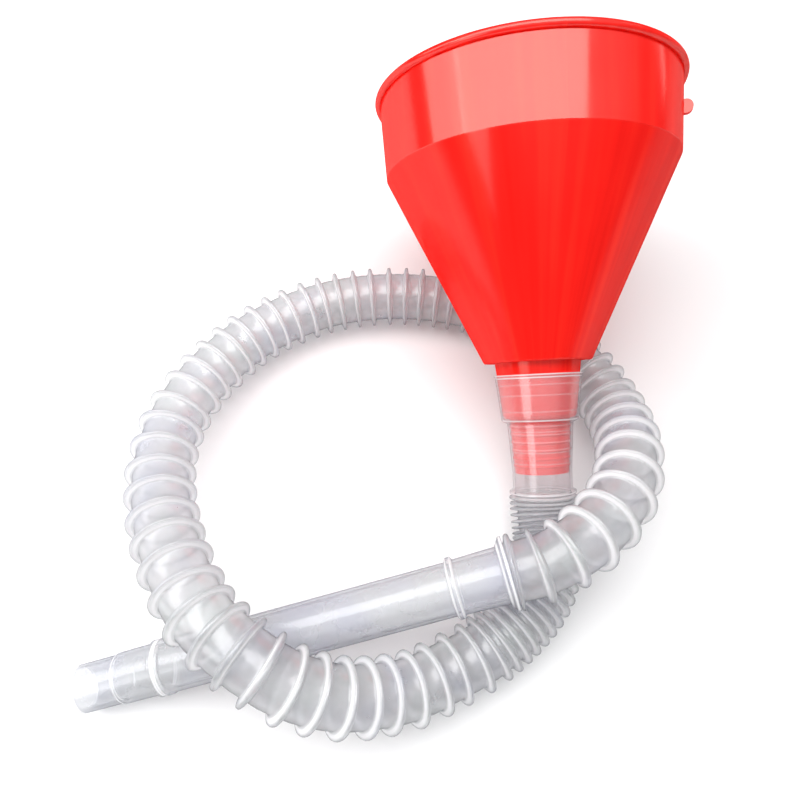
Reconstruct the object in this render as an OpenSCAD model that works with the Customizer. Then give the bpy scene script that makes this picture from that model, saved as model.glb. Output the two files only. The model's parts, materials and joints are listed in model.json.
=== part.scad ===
// Funnel with a lift-out strainer and a pull-out corrugated hose, lying as it is put down:
// the hose makes one loop on the ground and the cone leans over it.

/* [Mouth] */
// Outside diameter over the rolled lip
mouth_d = 160; // [120:1:200]
// Thickness of the rolled lip
lip_t = 4.2; // [3:0.1:6]
// Height of the straight band under the mouth
band_h = 41; // [25:1:60]
// How much narrower the band is at its foot than at the lip, in diameter
band_taper = 3.5; // [0:0.5:8]
// Wall thickness of the funnel
wall = 1.9; // [1.4:0.1:2.4]

/* [Cone] */
// Height of the cone
cone_h = 100; // [75:1:120]
// Outside diameter at the foot of the cone
cone_foot_d = 57.4; // [52:0.2:70]

/* [Spout] */
// Outside diameter of the neck under the cone
neck_top_d = 45.2; // [40:0.2:47]
// Outside diameter at the foot of the neck
neck_foot_d = 38.6; // [35:0.2:40]
// Height of the neck
neck_h = 28; // [24:1:40]
// Outside diameter at the top of the ridged spout
spout_top_d = 31.6; // [28:0.2:33]
// Outside diameter at the end of the ridged spout
spout_tip_d = 28.2; // [26:0.2:30]
// Length of the ridged spout
spout_h = 29; // [18:1:33]
// Height of each ridge on the spout
ridge_h = 0.5; // [0.2:0.1:0.8]
// Number of ridges
ridge_count = 6; // [0:1:7]

/* [Lug] */
// Diameter of the rounded lug under the lip
lug_d = 7; // [6:0.5:12]
// Thickness of the lug
lug_t = 3.2; // [2:0.2:5]
// Distance from the mouth to the middle of the lug
lug_drop = 19; // [8:1:24]
// Angle of the lug round the mouth
lug_angle = -20; // [-90:5:90]

/* [Strainer] */
// Thickness of the strainer ring
strainer_t = 2.4; // [1.6:0.2:4]
// Width of the strainer ring
strainer_rim = 4; // [2:0.5:5]
// Thickness of the strainer mesh
mesh_t = 0.8; // [0.6:0.1:1.2]

/* [Cuff] */
// Distance from the foot of the cone to the mouth of the cuff
cuff_set = 6.5; // [4:0.5:12]
// Length of the cuff beyond the end of the spout
cuff_over = 11; // [8:1:20]
// Wall thickness of the cuff
cuff_wall = 1.0; // [0.8:0.1:1.6]

/* [Hose] */
// Outside diameter over the ribs of the hose
hose_od = 36; // [30:0.5:36]
// Wall thickness of the hose envelope
hose_wall = 1.5; // [1:0.1:2.5]

/* [End tube] */
// Length of the smooth tube
tube_l = 216; // [190:1:216]
// Outside diameter of the smooth tube
tube_d = 25.4; // [22:0.2:26]
// Outside diameter of its tip
tip_d = 23; // [20:0.2:24]
// Length of the tip
tip_l = 21; // [12:1:30]
// Wall thickness of the smooth tube
tube_wall = 1.2; // [0.8:0.1:1.8]
// Height of the bead rings above the tube
bead_h = 1.9; // [0.6:0.1:2.4]

/* [Hidden] */
$fn = 96;

// Gap between the spout and the cuff that grips it, on the radius
cuff_gap = 0.08;
// Gap between the strainer ring and the shoulder it sits on
seat_gap = 0.05;
// Gap between the strainer ring and the cone round it, on the radius
strainer_gap = 0.5;
// How far the cone's underside slopes up from level
under_slope = 3.18;

// Radii of the mouth, band and cone
lip_r = lip_t / 2;
band_top_r = mouth_d / 2 - lip_r - 0.4;
band_foot_r = band_top_r - band_taper / 2;
foot_r = cone_foot_d / 2;
neck_top_r = neck_top_d / 2;
neck_foot_r = neck_foot_d / 2;
spout_top_r = spout_top_d / 2;
spout_tip_r = spout_tip_d / 2;
mouth_h = cone_h + band_h;
shoulder_t = wall;
cone_slope = (band_foot_r - foot_r) / cone_h;
cone_half = atan(cone_slope);
spout_h0 = -neck_h - 2;
spout_end = spout_h0 - spout_h;
ridge_pitch = (spout_h - 4) / max(1, ridge_count);

// Radius of the outside of the neck, and of the spout, at a height under the cone
function neck_r(h) = neck_top_r + (neck_top_r - neck_foot_r) * h / neck_h;
function spout_r(h) = spout_tip_r + (spout_top_r - spout_tip_r) * (h - spout_end) / spout_h;

// The cuff follows the spout from its mouth to its end
cuff_top_h = -cuff_set;
cuff_end_h = spout_end - cuff_over;
cuff_l = -cuff_end_h;
cuff_in_top = neck_r(cuff_top_h) + cuff_gap;
cuff_in_foot = neck_foot_r + 0.6;
cuff_in_spout = spout_top_r + ridge_h + cuff_gap;
cuff_in_tip = spout_tip_r + ridge_h + cuff_gap;
cuff_end_r = cuff_in_tip + cuff_wall;

// The strainer ring rests on the shoulder inside the foot of the cone
seat_h = shoulder_t + seat_gap;
seat_r = foot_r - wall * sqrt(1 + cone_slope * cone_slope) + cone_slope * seat_h - strainer_gap;

// Where the end of the cuff lies, and how the funnel leans
hose_r = hose_od / 2;
lift = hose_r / 18;
stand_x = 80;
stand_y = -54;
ground_gap = 0.2;
stand_z = 26.5 * lift + ground_gap;
lean = cone_half + under_slope;

// The hose runs through these points: across, back, and height in steps of the hose's radius over 18
hose_route = [
  [80, -54, 26.5], [80, -64, 22], [80, -76, 19], [78, -90, 18], [73, -103, 18],
  [64, -114, 18], [52, -124, 18], [38, -133, 18], [22, -140, 20], [4, -147, 25],
  [-14, -150, 33], [-32, -150, 43], [-50, -145, 53], [-64, -137, 60], [-77, -127, 62],
  [-90, -114, 60], [-100, -98, 56], [-110, -78, 50], [-118, -55, 43], [-122, -30, 36],
  [-120, -5, 30], [-112, 17, 26], [-100, 36, 23], [-82, 55, 21], [-60, 70, 19],
  [-35, 80, 18], [-8, 84, 18], [20, 83, 18], [48, 77, 18], [75, 66, 18],
  [100, 48, 18], [118, 25, 18], [128, 0, 21], [130, -24, 29], [124, -47, 40],
  [112, -68, 50], [96, -84, 56], [81, -94, 59], [66, -100, 57], [52, -102, 54]];
hose_last = len(hose_route) - 1;
hose_steps = 2;
hose_sides = 12;

// Where the smooth tube starts, and the way it points
tube_turn = 189.5;
tube_drop = asin((54 * lift + ground_gap - tip_d / 2 * cos(11.4) - 0.1) / tube_l);
tube_start = high(hose_route[hose_last]);
tube_way = [cos(tube_drop) * cos(tube_turn), cos(tube_drop) * sin(tube_turn), -sin(tube_drop)];
cuff_way = [0, -cos(lean), -sin(lean)];
bead_1 = 27;
bead_2 = 173.5 * tube_l / 216;

// A route point at its true height, with a hair's gap under the hose
function high(p) = [p[0], p[1], p[2] * lift + ground_gap];

// The route with one extra point at each end, so that the hose leaves the cuff and meets the tube straight
function route_at(i) =
  i < 0 ? high(hose_route[1]) - 2 * norm(high(hose_route[1]) - high(hose_route[0])) * cuff_way
  : i > hose_last ? high(hose_route[hose_last - 1])
    + 2 * norm(tube_start - high(hose_route[hose_last - 1])) * tube_way
  : high(hose_route[i]);

// A point and a direction on the smooth curve through four route points
function curve(a, b, c, d, t) =
  0.5 * (2 * b + (c - a) * t + (2 * a - 5 * b + 4 * c - d) * t * t + (3 * b - a - 3 * c + d) * t * t * t);
function slope(a, b, c, d, t) =
  0.5 * ((c - a) + 2 * (2 * a - 5 * b + 4 * c - d) * t + 3 * (3 * b - a - 3 * c + d) * t * t);
function unit(v) = v / norm(v);

// Position and direction of each ring of the hose
hose_at = [for (i = [0 : hose_last - 1]) for (k = [0 : hose_steps - 1])
    curve(route_at(i - 1), route_at(i), route_at(i + 1), route_at(i + 2), k / hose_steps),
  tube_start];
hose_way = [for (i = [0 : hose_last - 1]) for (k = [0 : hose_steps - 1])
    unit(slope(route_at(i - 1), route_at(i), route_at(i + 1), route_at(i + 2), k / hose_steps)),
  tube_way];

// One ring of points square to the hose
function ring_at(p, w, r) =
  let (side = unit(cross(w, [0, 0, 1])), top = cross(side, w))
  [for (k = [0 : hose_sides - 1])
    p + r * (cos(360 * k / hose_sides) * side + sin(360 * k / hose_sides) * top)];

// Stands the funnel's own axis where the funnel lies
module lay_funnel() {
  translate([stand_x, stand_y, stand_z])
    rotate([lean - 90, 0, 0])
      translate([0, 0, cuff_l])
        children();
}

// Stands the smooth tube's own axis where the tube lies
module lay_tube() {
  translate(tube_start)
    rotate([0, 90 + tube_drop, tube_turn])
      children();
}

// Outline of the funnel's wall: outside going up, then inside coming down
module funnel_outline() {
  slant = wall * sqrt(1 + cone_slope * cone_slope);
  polygon([
    [spout_tip_r, spout_end],
    [spout_top_r, spout_h0],
    [neck_foot_r - 0.8, spout_h0 + 0.4],
    [neck_foot_r, spout_h0 + 2],
    [neck_top_r, 0],
    [foot_r - 0.6, 0],
    [foot_r, 0.8],
    [band_foot_r, cone_h],
    [band_top_r, mouth_h - lip_t],
    [band_top_r, mouth_h - lip_r],
    [band_top_r - wall, mouth_h - lip_r],
    [band_top_r - wall, mouth_h - lip_t],
    [band_foot_r - wall, cone_h],
    [foot_r - slant + cone_slope * shoulder_t, shoulder_t],
    [neck_top_r - wall, shoulder_t],
    [neck_foot_r - wall, spout_h0 + 2],
    [spout_top_r - wall, spout_h0 - 1],
    [spout_tip_r - wall, spout_end]]);
}

// A ring of round section, such as the lip, a ridge or a bead
module round_ring(r, h, t) {
  translate([0, 0, h])
    rotate_extrude()
      translate([r, 0])
        circle(r = t, $fn = 24);
}

module funnel_body() {
  color([0.90, 0.07, 0.04])
    lay_funnel() {
      difference() {
        union() {
          rotate_extrude()
            funnel_outline();
          round_ring(mouth_d / 2 - lip_r, mouth_h - lip_r, lip_r);
          if (ridge_count > 0)
            for (k = [1 : ridge_count])
              round_ring(spout_r(spout_h0 - k * ridge_pitch) - 0.3, spout_h0 - k * ridge_pitch, ridge_h + 0.3);
          rotate([0, 0, lug_angle])
            translate([band_top_r + 0.4, 0, mouth_h - lug_drop])
              rotate([90, 0, 0])
                cylinder(d = lug_d, h = lug_t, center = true);
        }
        translate([0, 0, cone_h])
          cylinder(r1 = band_foot_r - wall, r2 = band_top_r - wall, h = band_h - lip_t);
      }
    }
}

module strainer_frame() {
  color([0.80, 0.66, 0.36])
    lay_funnel()
      rotate_extrude()
        polygon([
          [seat_r - strainer_rim, seat_h],
          [seat_r, seat_h],
          [seat_r, seat_h + strainer_t],
          [seat_r - strainer_rim, seat_h + strainer_t],
          [seat_r - strainer_rim, seat_h + mesh_t + 0.6],
          [seat_r - strainer_rim + 1.4, seat_h + mesh_t + 0.6],
          [seat_r - strainer_rim + 1.4, seat_h + 0.6],
          [seat_r - strainer_rim, seat_h + 0.6]]);
}

module strainer_mesh() {
  color([0.72, 0.60, 0.34])
    lay_funnel()
      translate([0, 0, seat_h + 0.6])
        cylinder(r = seat_r - strainer_rim + 1.4, h = mesh_t);
}

module hose_cuff() {
  color([0.86, 0.88, 0.90, 0.5])
    lay_funnel()
      rotate_extrude()
        polygon([
          [cuff_in_tip, cuff_end_h],
          [hose_r - 0.4, cuff_end_h],
          [hose_r - 0.4, cuff_end_h + 1.2],
          [cuff_end_r, cuff_end_h + 2.4],
          [cuff_end_r, spout_end],
          [cuff_in_spout + cuff_wall, spout_h0 - 2.6],
          [neck_foot_r + 0.9, spout_h0 - 1],
          [cuff_in_foot + cuff_wall - 0.2, spout_h0 + 2.5],
          [cuff_in_top + cuff_wall, cuff_top_h - 1.5],
          [cuff_in_top + cuff_wall + 0.5, cuff_top_h - 1],
          [cuff_in_top + cuff_wall + 0.5, cuff_top_h],
          [cuff_in_top, cuff_top_h],
          [cuff_in_foot, spout_h0 + 3],
          [neck_foot_r + 0.5, spout_h0 + 1],
          [neck_foot_r - 0.4, spout_h0 - 0.4],
          [cuff_in_spout, spout_h0 - 2],
          [cuff_in_tip, spout_end]]);
}

module hose_flex() {
  rings = len(hose_at);
  n = hose_sides;
  outside = [for (i = [0 : rings - 1]) each ring_at(hose_at[i], hose_way[i], hose_r)];
  inside = [for (i = [0 : rings - 1]) each ring_at(hose_at[i], hose_way[i], hose_r - hose_wall)];
  m = rings * n;
  e = (rings - 1) * n;
  skin = [for (i = [0 : rings - 2]) for (k = [0 : n - 1])
    let (a = i * n + k, b = i * n + (k + 1) % n) each [[a, b, b + n], [a, b + n, a + n]]];
  bore = [for (i = [0 : rings - 2]) for (k = [0 : n - 1])
    let (a = m + i * n + k, b = m + i * n + (k + 1) % n) each [[a, b + n, b], [a, a + n, b + n]]];
  start = [for (k = [0 : n - 1])
    let (a = k, b = (k + 1) % n) each [[a, m + b, b], [a, m + a, m + b]]];
  finish = [for (k = [0 : n - 1])
    let (a = e + k, b = e + (k + 1) % n) each [[a, b, m + b], [a, m + b, m + a]]];
  color([0.80, 0.84, 0.88, 0.5])
    polyhedron(points = concat(outside, inside), faces = concat(skin, bore, start, finish), convexity = 10);
}

module hose_end_tube() {
  tube_r = tube_d / 2;
  tip_r = tip_d / 2;
  color([0.86, 0.89, 0.91, 0.4])
    lay_tube()
      rotate_extrude()
        polygon([
          [hose_r - 2.5, 0],
          [hose_r - 0.4, 0],
          [hose_r - 0.4, 1.4],
          [tube_r + 0.8, 4],
          [tube_r + 0.3, bead_1 - 2.2],
          [tube_r + bead_h, bead_1 - 1.2],
          [tube_r + bead_h, bead_1 + 1.2],
          [tube_r, bead_1 + 2.2],
          [tube_r, bead_2 - 3.4],
          [tube_r + 0.7, bead_2 - 2.6],
          [tube_r + 0.7, bead_2 + 2.6],
          [tube_r - 0.5, bead_2 + 3.4],
          [tube_r - 0.6, tube_l - tip_l],
          [tip_r, tube_l - tip_l + 0.6],
          [tip_r, tube_l],
          [tip_r - tube_wall, tube_l],
          [tip_r - tube_wall, tube_l - tip_l],
          [tube_r - tube_wall - 0.6, bead_2],
          [tube_r - tube_wall, bead_1],
          [tube_r - tube_wall, 5]]);
}

funnel_body();
strainer_frame();
strainer_mesh();
hose_cuff();
hose_flex();
hose_end_tube();
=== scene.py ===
import json
import math

import bpy
import numpy as np
from mathutils import Matrix, Vector


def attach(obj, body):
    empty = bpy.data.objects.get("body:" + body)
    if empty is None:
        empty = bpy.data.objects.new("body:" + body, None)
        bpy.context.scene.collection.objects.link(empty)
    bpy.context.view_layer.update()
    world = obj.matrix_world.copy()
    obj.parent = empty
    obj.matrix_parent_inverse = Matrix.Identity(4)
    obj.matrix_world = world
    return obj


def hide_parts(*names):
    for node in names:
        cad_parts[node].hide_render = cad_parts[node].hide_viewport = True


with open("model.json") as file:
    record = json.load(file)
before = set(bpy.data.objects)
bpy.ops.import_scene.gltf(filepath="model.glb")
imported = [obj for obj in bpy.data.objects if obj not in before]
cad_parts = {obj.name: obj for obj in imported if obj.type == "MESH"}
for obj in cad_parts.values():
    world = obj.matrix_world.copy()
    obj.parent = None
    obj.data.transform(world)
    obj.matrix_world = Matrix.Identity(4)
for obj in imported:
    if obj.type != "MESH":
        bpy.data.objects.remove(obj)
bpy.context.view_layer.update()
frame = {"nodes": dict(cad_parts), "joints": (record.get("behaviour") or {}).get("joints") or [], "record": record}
nodes = frame["nodes"]
MM = 0.001

# ---------------------------------------------------------------- camera
CAMERA_LENS = 30.96
CAMERA_AT = Vector((-6, -174, 377.2)) * MM
CAMERA_HEADING, CAMERA_DOWN, CAMERA_ROLL = -4.0, 62.8, 0.8


def make_camera():
    data = bpy.data.cameras.new("camera")
    data.sensor_width = 36
    data.lens = CAMERA_LENS
    data.clip_start, data.clip_end = 0.01, 50
    cam = bpy.data.objects.new("camera", data)
    bpy.context.scene.collection.objects.link(cam)
    cam.matrix_world = (
        Matrix.Translation(CAMERA_AT)
        @ Matrix.Rotation(math.radians(CAMERA_HEADING), 4, "Z")
        @ Matrix.Rotation(math.radians(90 - CAMERA_DOWN), 4, "X")
        @ Matrix.Rotation(math.radians(CAMERA_ROLL), 4, "Z")
    )
    bpy.context.scene.camera = cam
    return cam


make_camera()

# ---------------------------------------------------------------- hose route
GROUND_GAP = 0.2
HOSE_ROUTE = np.array([
    [80, -54, 26.5], [80, -64, 22], [80, -76, 19], [78, -90, 18], [73, -103, 18],
    [64, -114, 18], [52, -124, 18], [38, -133, 18], [22, -140, 20], [4, -147, 25],
    [-14, -150, 33], [-32, -150, 43], [-50, -145, 53], [-64, -137, 60], [-77, -127, 62],
    [-90, -114, 60], [-100, -98, 56], [-110, -78, 50], [-118, -55, 43], [-122, -30, 36],
    [-120, -5, 30], [-112, 17, 26], [-100, 36, 23], [-82, 55, 21], [-60, 70, 19],
    [-35, 80, 18], [-8, 84, 18], [20, 83, 18], [48, 77, 18], [75, 66, 18],
    [100, 48, 18], [118, 25, 18], [128, 0, 21], [130, -24, 29], [124, -47, 40],
    [112, -68, 50], [96, -84, 56], [81, -94, 59], [66, -100, 57], [52, -102, 54],
]) + [0, 0, GROUND_GAP]
FUNNEL_AXIS = np.array(frame["joints"][0]["axis"], float)
FUNNEL_AXIS /= np.linalg.norm(FUNNEL_AXIS)
TUBE_AXIS = np.array(frame["record"]["mounts"][0]["axis"], float)
TUBE_AXIS /= np.linalg.norm(TUBE_AXIS)
CUFF_L = 70.0
CONE_FOOT = HOSE_ROUTE[0] + FUNNEL_AXIS * CUFF_L


def hose_line(steps):
    """Points along the hose, in millimetres, on the same smooth curve as the CAD hose."""
    p = HOSE_ROUTE
    first = p[1] + 2 * np.linalg.norm(p[1] - p[0]) * FUNNEL_AXIS
    last = p[-2] + 2 * np.linalg.norm(p[-1] - p[-2]) * TUBE_AXIS
    q = np.vstack([first, p, last])
    t = np.linspace(0, 1, steps, endpoint=False)[:, None]
    out = []
    for a, b, c, d in zip(q, q[1:], q[2:], q[3:]):
        out.append(0.5 * (2 * b + (c - a) * t + (2 * a - 5 * b + 4 * c - d) * t**2
                          + (3 * b - a - 3 * c + d) * t**3))
    return np.vstack(out + [p[-1:]])


LINE = hose_line(24)
ALONG = np.concatenate([[0], np.cumsum(np.linalg.norm(np.diff(LINE, axis=0), axis=1))])
HOSE_L = ALONG[-1]


def frame_at(s):
    """Centre, sideways and upward directions of the hose at distances s along it."""
    centre = np.stack([np.interp(s, ALONG, LINE[:, k]) for k in range(3)], axis=1)
    way = np.gradient(LINE, axis=0)
    way[0], way[-1] = -FUNNEL_AXIS, TUBE_AXIS
    way /= np.linalg.norm(way, axis=1)[:, None]
    w = np.stack([np.interp(s, ALONG, way[:, k]) for k in range(3)], axis=1)
    w /= np.linalg.norm(w, axis=1)[:, None]
    side = np.cross(w, [0, 0, 1])
    side /= np.linalg.norm(side, axis=1)[:, None]
    return centre, side, np.cross(side, w)


# ---------------------------------------------------------------- mesh helpers
def new_object(name, points, faces, smooth=True):
    mesh = bpy.data.meshes.new(name)
    mesh.from_pydata([tuple(p) for p in points], [], [tuple(int(i) for i in f) for f in faces])
    mesh.update()
    if smooth:
        mesh.polygons.foreach_set("use_smooth", [True] * len(mesh.polygons))
    obj = bpy.data.objects.new(name, mesh)
    bpy.context.scene.collection.objects.link(obj)
    return obj


def grid_faces(rings, sides):
    """Quads between rings of points, each ring closed round."""
    i, k = np.meshgrid(np.arange(rings - 1), np.arange(sides), indexing="ij")
    a, b = i * sides + k, i * sides + (k + 1) % sides
    return np.stack([a, b, b + sides, a + sides], axis=-1).reshape(-1, 4)


# ---------------------------------------------------------------- bellows hose
RIB_R, VALLEY_R, RIB_W = 18.0, 14.0, 4.4
HOSE_SIDES = 56
FIRST_RIB, LAST_RIB_GAP = 2.2, 2.0
# Distance from one rib to the next, at places along the hose
PITCH_AT = [0, 30, 60, 86, 94, 175, 215, 260, 370,
            400, 440, 660, 700, 730, 760, 800, 825, 860]
PITCH = [2.9, 3.5, 5.0, 5.5, 11.2, 12.8, 12.0, 14.6, 14.2,
         11.5, 10.7, 9.4, 10.5, 15.5, 17.5, 14.0, 11.5, 9.5]
# A rib's outline: distance from its middle as a share of half its width, and its height
HALF_RIB = [(-1.0, 0.0), (-0.84, 0.04), (-0.7, 0.15), (-0.6, 0.34),
            (-0.52, 0.58), (-0.44, 0.79), (-0.3, 0.95), (-0.14, 0.995)]
RIB_SHAPE = HALF_RIB + [(0.0, 1.0)] + [(-x, h) for x, h in reversed(HALF_RIB)]


def rib_places():
    """Distance along the hose of each rib's middle: packed close by the cuff, pulled out further on."""
    at, s, k = [], FIRST_RIB, 0
    while s < HOSE_L - 6:
        at.append(s)
        k += 1
        uneven = 1 + 0.05 * math.sin(2.4 * k) + 0.03 * math.sin(5.1 * k + 1)
        s += np.interp(s, PITCH_AT, PITCH) * uneven
    at = np.array(at)
    stretch = (HOSE_L - LAST_RIB_GAP - FIRST_RIB) / (at[-1] - FIRST_RIB)
    return FIRST_RIB + (at - FIRST_RIB) * stretch


def make_bellows():
    ribs = rib_places()
    gaps = np.diff(ribs)
    s, r, rib_highlight_share = [0.0], [VALLEY_R + 1.2], [0.0]
    for j, at in enumerate(ribs):
        room = min(gaps[max(0, j - 1)], gaps[min(j, len(gaps) - 1)])
        half = min(RIB_W / 2, 0.44 * room)
        for x, h in RIB_SHAPE:
            if 0 < at + x * half < HOSE_L:
                s.append(at + x * half)
                r.append(VALLEY_R + (RIB_R - VALLEY_R) * h)
                rib_highlight_share.append(min(1.0, max(0.0, 1.5 - 3 * abs(h - 0.5))))
        if j < len(gaps) and gaps[j] > 5:
            s.append(at + gaps[j] / 2)
            r.append(VALLEY_R + 0.15)
            rib_highlight_share.append(0.0)
    s.append(HOSE_L)
    r.append(VALLEY_R + 0.6)
    rib_highlight_share.append(0.0)
    s, r = np.array(s), np.array(r)
    centre, side, top = frame_at(s)
    a = np.linspace(0, 2 * math.pi, HOSE_SIDES, endpoint=False)
    ring = np.cos(a)[None, :, None] * side[:, None] + np.sin(a)[None, :, None] * top[:, None]
    points = centre[:, None] + r[:, None, None] * ring
    obj = new_object("hose_bellows", points.reshape(-1, 3) * MM, grid_faces(len(s), HOSE_SIDES))
    # How much of a rib's steep side each point is: painted highlight lines on those walls, partly the real extra
    # plastic seen through them and partly pale colour standing in for light they reflect and let through
    mark = obj.data.attributes.new("rib_highlight", "FLOAT", "POINT")
    mark.data.foreach_set("value", np.repeat(rib_highlight_share, HOSE_SIDES).astype(np.float32))
    return obj


bellows = make_bellows()
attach(bellows, "hose")
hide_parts("hose_flex")


# ---------------------------------------------------------------- strainer's woven wire
MESH_R, WIRE_R, WIRE_PITCH, MESH_H = 24.3, 0.22, 1.6, 2.9


def make_wires():
    sides, points, faces = 6, [], []
    count = int(MESH_R / WIRE_PITCH)
    for turn in (0, 1):
        for n in range(-count, count + 1):
            off = n * WIRE_PITCH
            half = math.sqrt(max(0.0, MESH_R**2 - off**2))
            if half < 2:
                continue
            x = np.arange(-half, half + 0.01, WIRE_PITCH / 4)
            phase = math.pi * (n + turn)
            z = (WIRE_R * 1.05) * np.cos(math.pi * x / WIRE_PITCH + phase)
            line = np.stack([x, np.full_like(x, off), z], axis=1)
            if turn:
                line = line[:, [1, 0, 2]]
            across = np.array([0, 1.0, 0]) if not turn else np.array([1.0, 0, 0])
            a = np.linspace(0, 2 * math.pi, sides, endpoint=False)
            ring = WIRE_R * (np.cos(a)[:, None] * across + np.sin(a)[:, None] * np.array([0, 0, 1.0]))
            start = sum(len(p) for p in points)
            points.append((line[:, None] + ring[None]).reshape(-1, 3))
            faces.append(grid_faces(len(line), sides) + start)
    p = np.vstack(points) + [0, 0, MESH_H]
    x_dir, z_dir = np.array([1.0, 0, 0]), FUNNEL_AXIS
    y_dir = np.cross(z_dir, x_dir)
    p = CONE_FOOT + p[:, :1] * x_dir + p[:, 1:2] * y_dir + p[:, 2:] * z_dir
    return new_object("strainer_wires", p * MM, np.vstack(faces))


wires = make_wires()
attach(wires, "strainer")
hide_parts("strainer_mesh")


# ---------------------------------------------------------------- material helpers
class Nodes:
    """A material's node tree, with short ways to add and join nodes."""

    def __init__(self, name):
        self.mat = bpy.data.materials.new(name)
        self.mat.use_nodes = True
        self.tree = self.mat.node_tree
        self.tree.nodes.clear()
        self.out = self.add("ShaderNodeOutputMaterial")

    def add(self, kind, props=(), **inputs):
        node = self.tree.nodes.new(kind)
        for key, value in dict(props).items():
            setattr(node, key, value)
        for key, value in inputs.items():
            self.put(node.inputs[key.replace("_", " ")], value)
        return node

    def put(self, socket, value):
        if isinstance(value, bpy.types.NodeSocket):
            self.tree.links.new(value, socket)
        else:
            socket.default_value = value

    def math(self, op, a, b=0.5, clamp=False):
        node = self.tree.nodes.new("ShaderNodeMath")
        node.operation, node.use_clamp = op, clamp
        self.put(node.inputs[0], a)
        self.put(node.inputs[1], b)
        return node.outputs[0]

    def ramp(self, value, stops):
        node = self.tree.nodes.new("ShaderNodeValToRGB")
        while len(node.color_ramp.elements) < len(stops):
            node.color_ramp.elements.new(0.5)
        for e, (at, colour) in zip(node.color_ramp.elements, stops):
            e.position = at
            e.color = (*colour, 1) if len(colour) == 3 else (*colour * 3, 1)
        self.put(node.inputs[0], value)
        return node.outputs[0]

    def coords(self):
        return self.add("ShaderNodeTexCoord").outputs["Object"]

    def noise(self, vector, scale, detail=3.0, rough=0.55):
        node = self.add("ShaderNodeTexNoise", Scale=scale, Detail=detail, Roughness=rough)
        self.put(node.inputs["Vector"], vector)
        return node.outputs[0]

    def bump(self, height, strength, distance):
        node = self.add("ShaderNodeBump", Strength=strength, Distance=distance)
        self.put(node.inputs["Height"], height)
        return node.outputs[0]

    def ring_highlights(self, where, origin, axis, places, half):
        """Painted highlight lines round a turned part, standing in for light caught by its ridges, at distances in
        millimetres along its axis.
        """
        along = self.add("ShaderNodeVectorMath", {"operation": "DOT_PRODUCT"})
        self.put(along.inputs[0], where)
        along.inputs[1].default_value = tuple(axis / MM)
        t = self.math("SUBTRACT", along.outputs["Value"], float(np.dot(origin, axis)))
        total = 0.0
        for place in places:
            off = self.math("ABSOLUTE", self.math("SUBTRACT", t, place))
            total = self.math("MAXIMUM", total, self.math("SUBTRACT", 1.4, self.math("DIVIDE", off, half)))
        return self.math("MINIMUM", total, 1.0, clamp=True)

    def mix_colour(self, fac, a, b, blend="MIX"):
        node = self.add("ShaderNodeMix", {"data_type": "RGBA", "blend_type": blend})
        self.put(node.inputs[0], fac)
        for socket, value in ((node.inputs[6], a), (node.inputs[7], b)):
            self.put(socket, (*value, 1) if isinstance(value, tuple) else value)
        return node.outputs[2]

    def mix_shader(self, fac, a, b):
        node = self.tree.nodes.new("ShaderNodeMixShader")
        self.put(node.inputs[0], fac)
        self.put(node.inputs[1], a)
        self.put(node.inputs[2], b)
        return node.outputs[0]

    def finish(self, shader):
        self.put(self.out.inputs["Surface"], shader)
        return self.mat


def principled(n, **values):
    node = n.tree.nodes.new("ShaderNodeBsdfPrincipled")
    for key, value in values.items():
        n.put(node.inputs[key.replace("_", " ")], value)
    return node.outputs[0]


def paint(obj, mat):
    obj.data.materials.clear()
    obj.data.materials.append(mat)


# ---------------------------------------------------------------- red plastic
BAND_FOOT = 99.5 * MM
CONE_GLOSS, BAND_EXTRA_GLOSS, EDGE_GLOSS = 0.032, 0.030, 0.02


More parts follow.
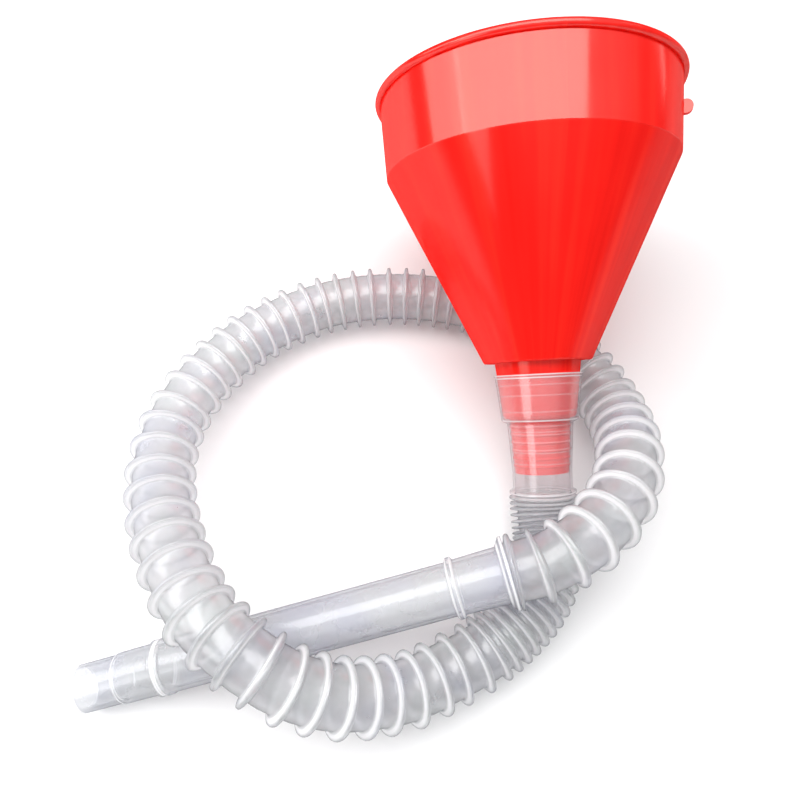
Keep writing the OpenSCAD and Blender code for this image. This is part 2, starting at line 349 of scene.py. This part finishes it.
def red_plastic():
    n = Nodes("red_plastic_moulded")
    to_axis = n.add("ShaderNodeMapping", {"vector_type": "TEXTURE"})
    lean = math.atan2(FUNNEL_AXIS[2], FUNNEL_AXIS[1])
    n.put(to_axis.inputs["Vector"], n.coords())
    to_axis.inputs["Location"].default_value = tuple(CONE_FOOT * MM)
    to_axis.inputs["Rotation"].default_value = (lean - math.pi / 2, 0, 0)
    local = to_axis.outputs[0]
    split = n.add("ShaderNodeSeparateXYZ")
    n.put(split.inputs[0], local)
    turn = n.math("ARCTAN2", split.outputs[0], split.outputs[1])
    # Faint moulding streaks that run up the cone
    streak_at = n.add("ShaderNodeCombineXYZ")
    n.put(streak_at.inputs[0], n.math("MULTIPLY", turn, 4.0))
    n.put(streak_at.inputs[2], n.math("MULTIPLY", split.outputs[2], 3.0))
    streaks = n.noise(streak_at.outputs[0], 2.2, 2.0)
    cloud = n.noise(local, 18.0, 2.0)
    tone = n.math("ADD", n.math("MULTIPLY", streaks, 0.7), n.math("MULTIPLY", cloud, 0.3))
    colour = n.ramp(tone, [(0.35, (0.80, 0.005, 0.003)), (0.5, (0.87, 0.008, 0.005)),
                           (0.66, (0.92, 0.016, 0.008))])
    fine = n.noise(local, 900.0, 2.0)
    rough = n.ramp(n.noise(local, 60.0, 3.0), [(0.3, (0.12, 0.12, 0.12)), (0.7, (0.17, 0.17, 0.17))])
    wave = n.noise(local, 22.0, 1.0)
    height = n.math("ADD", n.math("MULTIPLY", fine, 0.05), wave)
    bump = n.bump(height, 0.10, 0.0006)
    body = principled(n, Base_Color=colour, Roughness=rough, Specular_IOR_Level=0.0, Normal=bump)
    shine = n.add("ShaderNodeBsdfGlossy", Color=(1, 0.96, 0.86, 1))
    n.put(shine.inputs["Roughness"], rough)
    n.put(shine.inputs["Normal"], bump)
    facing = n.add("ShaderNodeLayerWeight", Blend=0.5).outputs["Facing"]
    # The band is moulded smoother than the cone, so it mirrors the lights more
    on_band = n.math("GREATER_THAN", split.outputs[2], BAND_FOOT)
    edge = n.math("MULTIPLY", n.math("POWER", facing, 4.0), EDGE_GLOSS)
    amount = n.math("ADD", edge, CONE_GLOSS)
    amount = n.math("ADD", amount, n.math("MULTIPLY", on_band, BAND_EXTRA_GLOSS))
    return n.finish(n.mix_shader(amount, body, shine.outputs[0]))


# ---------------------------------------------------------------- clear plastic
def clear_plastic(name, clear, edge, frost, milk_colours, gloss, rough, painted_highlight=None):
    """Thin clear plastic: a film that darkens seen edge on (partly real absorption, partly painted shade for
    refraction), a frosted share with painted shade at the silhouette and painted highlights where a mask is given,
    and a soft gloss.
    """
    n = Nodes(name)
    where = n.coords()
    facing = n.add("ShaderNodeLayerWeight", Blend=0.5).outputs["Facing"]
    # The film darkens seen edge on: partly the real longer path through the plastic, partly painted shade standing
    # in for refraction
    film = n.add("ShaderNodeBsdfTransparent",
                 Color=n.ramp(facing, [(0.0, clear), (0.5, clear), (1.0, edge)])).outputs[0]
    cloud = n.noise(where, 70.0, 3.0)
    bump = n.bump(n.noise(where, 120.0, 2.0), 0.15, 0.0006)
    share = n.math("ADD", n.math("MULTIPLY", cloud, frost * 0.5), frost * 0.75)
    milk_colour = n.ramp(n.noise(where, 30.0, 2.0), list(zip((0.3, 0.5, 0.7), milk_colours)))
    # Painted highlights: where the mask is set the frosted colour turns pale and the frosted share rises, standing
    # in for light caught by ribs, ridges and beads
    if painted_highlight:
        side = painted_highlight(n, where)
        milk_colour = n.mix_colour(side, milk_colour, (0.98, 0.98, 0.99))
        share = n.math("ADD", share, n.math("MULTIPLY", side, 0.6), clamp=True)
    # Painted shade: the frosted colour darkens towards the silhouette, standing in for the dark edge that
    # refraction gives
    edge_shade = n.ramp(facing, [(0.0, (1, 1, 1)), (0.70, (1, 1, 1)), (1.0, (0.30, 0.31, 0.35))])
    milk_colour = n.mix_colour(1.0, milk_colour, edge_shade, "MULTIPLY")
    milk = principled(n, Base_Color=milk_colour, Roughness=0.6, IOR=1.3, Normal=bump)
    glow = n.add("ShaderNodeBsdfTranslucent", Color=milk_colour).outputs[0]
    body = n.mix_shader(share, film, n.mix_shader(0.35, milk, glow))
    shine = n.add("ShaderNodeBsdfGlossy", Color=(1, 1, 1, 1), Roughness=rough)
    n.put(shine.inputs["Normal"], bump)
    grazing = n.math("MULTIPLY", n.math("POWER", facing, 4.0), 0.25)
    return n.finish(n.mix_shader(n.math("ADD", grazing, gloss), body, shine.outputs[0]))


# Painted highlight: the share of each point on a rib's steep side, read from the mesh
def rib_highlights(n, where):
    return n.add("ShaderNodeAttribute", {"attribute_name": "rib_highlight"}).outputs["Fac"]


# Distances along the axis of the painted highlight lines: the cuff's from the cone's foot, the tube's from the
# hose's end
CUFF_STRONG = [-6.8, -8.3, -30.6, -69.4]
CUFF_FAINT = [-12, -17.5, -26, -33.5, -36.5, -38, -42, -46, -47.5, -53.5]
TUBE_BEADS = [0.8, 3.0, 25.6, 28.4, 173.0, 174.0, 195.2, 215.4]


# Painted highlight lines on the cuff's ridges
def cuff_ring_highlights(n, where):
    strong = n.ring_highlights(where, CONE_FOOT, FUNNEL_AXIS, CUFF_STRONG, 0.4)
    faint = n.ring_highlights(where, CONE_FOOT, FUNNEL_AXIS, CUFF_FAINT, 0.35)
    return n.math("MAXIMUM", n.math("MULTIPLY", strong, 0.75), n.math("MULTIPLY", faint, 0.22))


# Painted highlight lines on the tube's beads
def tube_bead_highlights(n, where):
    return n.ring_highlights(where, HOSE_ROUTE[-1], TUBE_AXIS, TUBE_BEADS, 0.6)


# ---------------------------------------------------------------- metal
def strainer_brass():
    n = Nodes("strainer_brass")
    where = n.coords()
    tone = n.noise(where, 120.0, 4.0)
    colour = n.ramp(tone, [(0.3, (0.46, 0.33, 0.13)), (0.7, (0.72, 0.56, 0.27))])
    rough = n.ramp(n.noise(where, 400.0, 3.0), [(0.3, (0.25, 0.25, 0.25)), (0.7, (0.42, 0.42, 0.42))])
    bump = n.bump(tone, 0.2, 0.0003)
    return n.finish(principled(n, Base_Color=colour, Metallic=1.0, Roughness=rough, Normal=bump))


paint(nodes["funnel_body"], red_plastic())
brass = strainer_brass()
paint(nodes["strainer_frame"], brass)
paint(wires, brass)
LILAC, GREENISH, NEUTRAL = (0.50, 0.51, 0.59), (0.56, 0.60, 0.58), (0.61, 0.61, 0.62)
CUFF_MILK = (0.72, 0.70, 0.73), (0.78, 0.76, 0.77), (0.83, 0.82, 0.82)
TUBE_MILK = (0.62, 0.63, 0.71), (0.70, 0.71, 0.73), (0.72, 0.73, 0.71)
paint(bellows, clear_plastic(
    "hose_film", clear=(0.90, 0.905, 0.92), edge=(0.16, 0.17, 0.20), frost=0.40,
    milk_colours=(LILAC, NEUTRAL, GREENISH), gloss=0.075, rough=0.23, painted_highlight=rib_highlights))
paint(nodes["hose_cuff"], clear_plastic(
    "cuff_film", clear=(0.955, 0.925, 0.93), edge=(0.78, 0.76, 0.78), frost=0.13,
    milk_colours=CUFF_MILK, gloss=0.060, rough=0.18, painted_highlight=cuff_ring_highlights))
paint(nodes["hose_end_tube"], clear_plastic(
    "tube_film", clear=(0.945, 0.95, 0.96), edge=(0.25, 0.27, 0.33), frost=0.32,
    milk_colours=TUBE_MILK, gloss=0.05, rough=0.22, painted_highlight=tube_bead_highlights))


# ---------------------------------------------------------------- floor and light
def floor():
    size = 3.0
    obj = new_object("floor", [(-size, -size, 0), (size, -size, 0), (size, size, 0), (-size, size, 0)],
                     [(0, 1, 2, 3)], smooth=False)
    n = Nodes("pale_floor")
    colour = n.ramp(n.noise(n.coords(), 3.0), [(0.3, (0.79, 0.79, 0.79)), (0.7, (0.81, 0.81, 0.81))])
    paint(obj, n.finish(principled(n, Base_Color=colour, Roughness=0.8, IOR=1.3)))


def panel(name, at, aim, width, height, radiance):
    data = bpy.data.lights.new(name, "AREA")
    data.shape, data.size, data.size_y = "RECTANGLE", width, height
    data.energy = radiance * math.pi * width * height
    obj = bpy.data.objects.new(name, data)
    bpy.context.scene.collection.objects.link(obj)
    direction = Vector(aim) - Vector(at)
    obj.matrix_world = Matrix.Translation(at) @ direction.to_track_quat("-Z", "Y").to_matrix().to_4x4()


floor()
panel("overhead", (-0.4, 0.1, 1.1), (-0.4, 0.1, 0.0), 2.0, 0.8, 3.8)
panel("left_wall", (-1.4, 0.3, 0.75), (0.0, 0.3, 0.3), 0.9, 0.7, 3.0)
panel("left_front", (-0.76, -0.55, 0.55), (0.08, 0.0, 0.05), 0.5, 0.4, 2.8)
panel("right_strip", (1.3, 0.55, 0.6), (0.1, 0.1, 0.1), 0.06, 1.0, 3.0)


def studio_world():
    world = bpy.data.worlds.new("studio")
    world.use_nodes = True
    tree = world.node_tree
    split = tree.nodes.new("ShaderNodeSeparateXYZ")
    tree.links.new(tree.nodes.new("ShaderNodeTexCoord").outputs["Generated"], split.inputs[0])
    ramp = tree.nodes.new("ShaderNodeValToRGB")
    for at, level in ((0.35, 0.22), (0.6, 0.65)):
        ramp.color_ramp.elements.new(at).color = (level, level, level, 1)
    ramp.color_ramp.elements[0].color = (0.22, 0.22, 0.22, 1)
    ramp.color_ramp.elements[-1].color = (0.85, 0.85, 0.87, 1)
    tree.links.new(split.outputs[2], ramp.inputs[0])
    tree.links.new(ramp.outputs[0], tree.nodes["Background"].inputs["Color"])
    bpy.context.scene.world = world


studio_world()
bpy.context.scene.view_settings.view_transform = "Standard"
